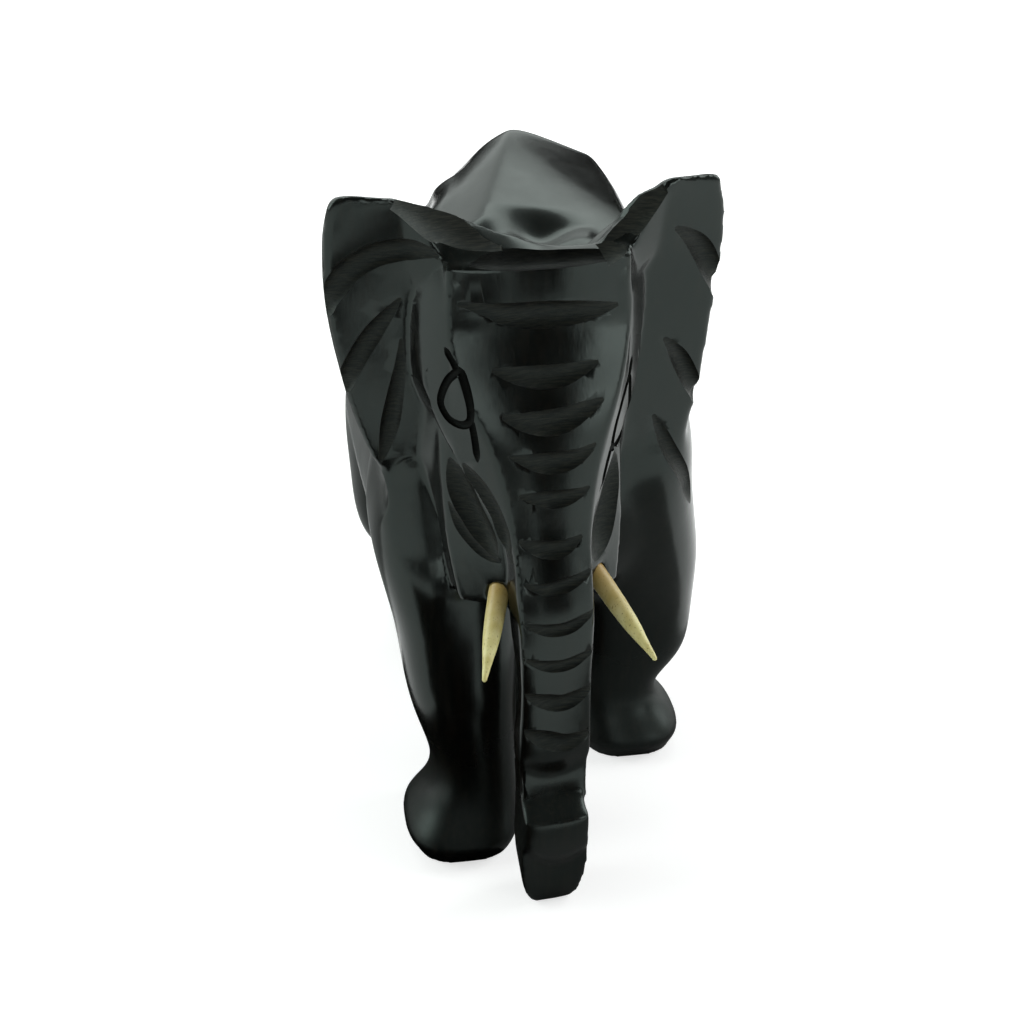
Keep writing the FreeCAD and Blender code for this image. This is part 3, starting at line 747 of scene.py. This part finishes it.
# Lines that run down to each eye and on from it.
EYE_LINES = [
    ([(-18.7, 125.6), (-17.9, 123.6), (-16.8, 121.0)], 1.6, 0.8, 0.3, 0.0),
    ([(-14.8, 111.6), (-14.2, 108.0), (-13.6, 102.6)], 1.8, 0.9, 0.0, 0.3),
    ([(18.9, 120.0), (18.6, 117.5), (18.2, 114.8)], 1.6, 0.8, 0.3, 0.0),
    ([(13.8, 103.0), (12.6, 99.6), (11.3, 95.0)], 1.8, 0.9, 0.0, 0.3),
]
# Round each eye: a closed line, then the width and depth of its cut.
EYE_RIMS = [
    ([(-16.6, 121.4), (-18.0, 119.6), (-19.0, 117.0), (-19.5, 114.2), (-19.1, 112.3),
      (-18.0, 110.6), (-16.2, 110.2), (-15.0, 111.6), (-15.1, 115.1), (-15.7, 118.9)], 1.8, 0.9),
    ([(18.5, 115.5), (19.0, 112.0), (19.1, 107.8), (16.6, 103.4), (14.2, 102.4),
      (14.4, 106.0), (16.0, 110.8), (17.4, 114.2)], 1.8, 0.9),
]
# Flutes that hollow the jaw beside the trunk, three on the right side and one on the left.
JAW = [
    ([(-17.6, 101.4), (-16.0, 95.0), (-13.6, 88.6), (-10.0, 80.8)], 6.4, 1.7, 0.35, 0.35),
    ([(-16.3, 102.4), (-14.2, 98.6), (-11.4, 93.4), (-9.2, 87.4), (-8.0, 82.0)],
     5.0, 1.5, 0.35, 0.35),
    ([(-18.4, 92.4), (-15.8, 86.2), (-12.0, 82.0), (-8.6, 80.8)], 2.6, 0.6, 0.4, 0.4),
    ([(16.8, 99.0), (14.6, 92.0), (12.8, 85.5), (10.6, 77.5)], 10.5, 2.5, 0.4, 0.4),
]
carve(block, [notch(*scrape) for scrape in CROWN_SCRAPES], scraped)
carve(block, [stroke(surface, *cut) for cut in FOLDS + EARS + JAW], gouged_and_shaded)
carve(block, [notch(*CROWN_FOLD)] + [stroke(surface, *cut) for cut in EYE_LINES]
      + [outline(surface, *rim) for rim in EYE_RIMS], groove_shade)

for face in block.data.polygons:
    face.use_smooth = True
block.data.set_sharp_from_angle(angle=CREASE)
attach(block, "root")
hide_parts("carved_body")

# ------------------------------------------------------------------ bone
SLICES = 24             # along a tusk, each with its own middle
WHOLE_SHARE = 0.66      # of the length, down from the root, which keeps its thickness
POINT_SHARE = 0.34      # of the length, which is whittled to a point
TIP_LOSS = 0.5          # share of its thickness that the tip loses
TIP_CURVE = 1.3         # above 1, the point starts gently
GLUE_DEPTH = 3.0        # mm from the tusk's top down to where the glue is strongest


def whittled_tusk(name):
    """The tusk with its last third whittled to a point."""
    mesh = merged(nodes[name].data.copy(), CAD_SEAM)
    root = max((point.co for point in mesh.vertices), key=lambda place: place.z).copy()
    tip = min((point.co for point in mesh.vertices), key=lambda place: place.z).copy()
    axis = tip - root
    along = [(point.co - root).dot(axis) / axis.length_squared for point in mesh.vertices]
    slices = {}
    for point, share in zip(mesh.vertices, along):
        slices.setdefault(round(share * SLICES), []).append(point.co.copy())
    middles = {key: sum(ring, Vector()) / len(ring) for key, ring in slices.items()}
    for point, share in zip(mesh.vertices, along):
        cut = max(0.0, (share - WHOLE_SHARE) / POINT_SHARE)
        middle = middles[round(share * SLICES)]
        point.co = middle.lerp(point.co, 1.0 - TIP_LOSS * cut ** TIP_CURVE)
    mesh.update()
    mesh.materials.clear()
    mesh.materials.append(carved_bone(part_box(name)[1].z - GLUE_DEPTH * MM))
    tusk = linked("whittled_" + name, mesh)
    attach(tusk, "root")
    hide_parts(name)


whittled_tusk("left_tusk")
whittled_tusk("right_tusk")

# ------------------------------------------------------------------ studio
SHEET_REACH = 4.0                # m, from the middle of the white sheet to its edges
COOL = (0.93, 1.0, 0.97)         # the cast of the walls and of the lamps behind and at left
BODY_MIDDLE = (0, 0, 0.08)       # m, where the softboxes point
HEAD_MIDDLE = (0, -0.06, 0.12)   # m, where the strips point

work = bmesh.new()
bmesh.ops.create_grid(work, x_segments=1, y_segments=1, size=SHEET_REACH)
floor = linked("floor", finished(work, bpy.data.meshes.new("floor")))
floor.data.materials.append(white_table())

world = bpy.data.worlds.new("studio")
bpy.context.scene.world = world
sky = Nodes(world)
toward = sky.add("ShaderNodeTexCoord")
split = sky.add("ShaderNodeSeparateXYZ", links={0: toward.outputs["Generated"]})
# the studio is dark behind the camera and brightens towards the back
walls = sky.add("ShaderNodeMapRange", {"From Min": -0.7, "From Max": 0.5,
                                       "To Min": 0.12, "To Max": 0.9},
                {"Value": split.outputs["Y"]})
# and its ceiling is dimmer right overhead
ceiling = sky.add("ShaderNodeMapRange", {"From Min": 0.7, "From Max": 0.95,
                                         "To Min": 1.0, "To Max": 0.4},
                  {"Value": split.outputs["Z"]})
level = sky.add("ShaderNodeMath", {"operation": "MULTIPLY"},
                {0: walls.outputs[0], 1: ceiling.outputs[0]})
sky.fit(sky.tree.nodes["Background"], {"Color": (*COOL, 1.0)}, {"Strength": level.outputs[0]})


def lamp(name, place, target, size, watts, tint=(1.0, 1.0, 1.0)):
    """A rectangular lamp of that size in metres, turned towards its target."""
    light = bpy.data.lights.new(name, "AREA")
    light.shape = "RECTANGLE"
    light.size, light.size_y = size
    light.energy = watts
    light.color = tint
    holder = linked(name, light)
    holder.location = place
    holder.rotation_euler = (Vector(target) - Vector(place)).to_track_quat("-Z", "Y").to_euler()


lamp("back_softbox", (0.0, 0.8, 1.0), BODY_MIDDLE, (1.6, 0.5), 4.6, COOL)
lamp("left_softbox", (-0.8, 0.1, 0.55), BODY_MIDDLE, (0.6, 0.6), 4.0, COOL)
lamp("right_softbox", (0.8, 0.1, 0.55), BODY_MIDDLE, (0.6, 0.6), 4.0)
lamp("front_left_strip", (-0.065, -0.46, 0.17), HEAD_MIDDLE, (0.17, 0.14), 0.18)
lamp("front_right_strip", (0.33, -0.40, 0.17), HEAD_MIDDLE, (0.17, 0.14), 0.26)


def painted_shade_card(name, low, high, shade="0a0a0a"):
    """A dark card that only the polish shows, as painted shade in the reflections. The sheet's
    own glow hides the object's shade from the reflections, and the cards put it back; the upright
    ones darken the studio that the polish mirrors in front and behind."""
    low, high = Vector(low), Vector(high)
    work = bmesh.new()
    bmesh.ops.create_cube(work, size=1.0)
    bmesh.ops.transform(work, verts=work.verts, matrix=Matrix.Translation((low + high) / 2)
                        @ Matrix.Diagonal((*(high - low), 1.0)))
    card = linked(name, finished(work, bpy.data.meshes.new(name)))
    card.data.materials.append(Finish(name, {
        "Base Color": linear(shade), "Roughness": 1.0, "Specular IOR Level": 0.0}).material)
    card.visible_camera = card.visible_diffuse = card.visible_shadow = False


# Painted shade, seen only in the polish: cards on the floor under and around the figure, and
# upright ones in front and behind.
painted_shade_card("painted_shade_low_front", (-0.14, -0.451, 0.0), (0.03, -0.45, 0.085))
painted_shade_card("painted_shade_low_left", (-0.22, -0.453, 0.085), (-0.10, -0.452, 0.112))
painted_shade_card("painted_shade_under_front", (-0.085, -0.34, 0.0005), (-0.005, -0.20, 0.001), "303030")
painted_shade_card("painted_shade_front", (0.055, -0.461, 0.0), (0.235, -0.46, 0.24))
painted_shade_card("painted_shade_leg", (-0.08, -0.101, 0.0), (-0.006, -0.10, 0.042))
painted_shade_card("painted_shade_knee", (-0.055, -0.078, 0.02), (-0.024, -0.077, 0.064), "484848")
painted_shade_card("painted_shade_under_right", (-0.062, -0.125, 0.0005), (-0.01, 0.02, 0.001))
painted_shade_card("painted_shade_under_back", (-0.42, 0.03, 0.0005), (-0.045, 0.75, 0.001), "8c8c8c")
painted_shade_card("painted_shade_under_left", (-0.01, -0.125, 0.0005), (0.08, 0.02, 0.001), "a0a0a0")
painted_shade_card("painted_shade_back_low", (-2.0, 0.90, 0.0), (2.0, 0.901, 0.19))
painted_shade_card("painted_shade_back_right", (0.25, 0.70, 0.19), (0.80, 0.701, 0.50))

camera_data = bpy.data.cameras.new("camera")
camera_data.lens = 51.0            # mm, on a sensor 36 mm wide
camera_data.sensor_width = 36.0
camera_data.clip_start = 0.01
camera = linked("camera", camera_data)
camera.location = (-0.0492, -0.3162, 0.2234)
# it looks 27.3 degrees down and 9 degrees to its right
camera.rotation_euler = (math.radians(62.7), 0.0, math.radians(-9.0))
bpy.context.scene.camera = camera

bpy.context.scene.view_settings.view_transform = "Standard"
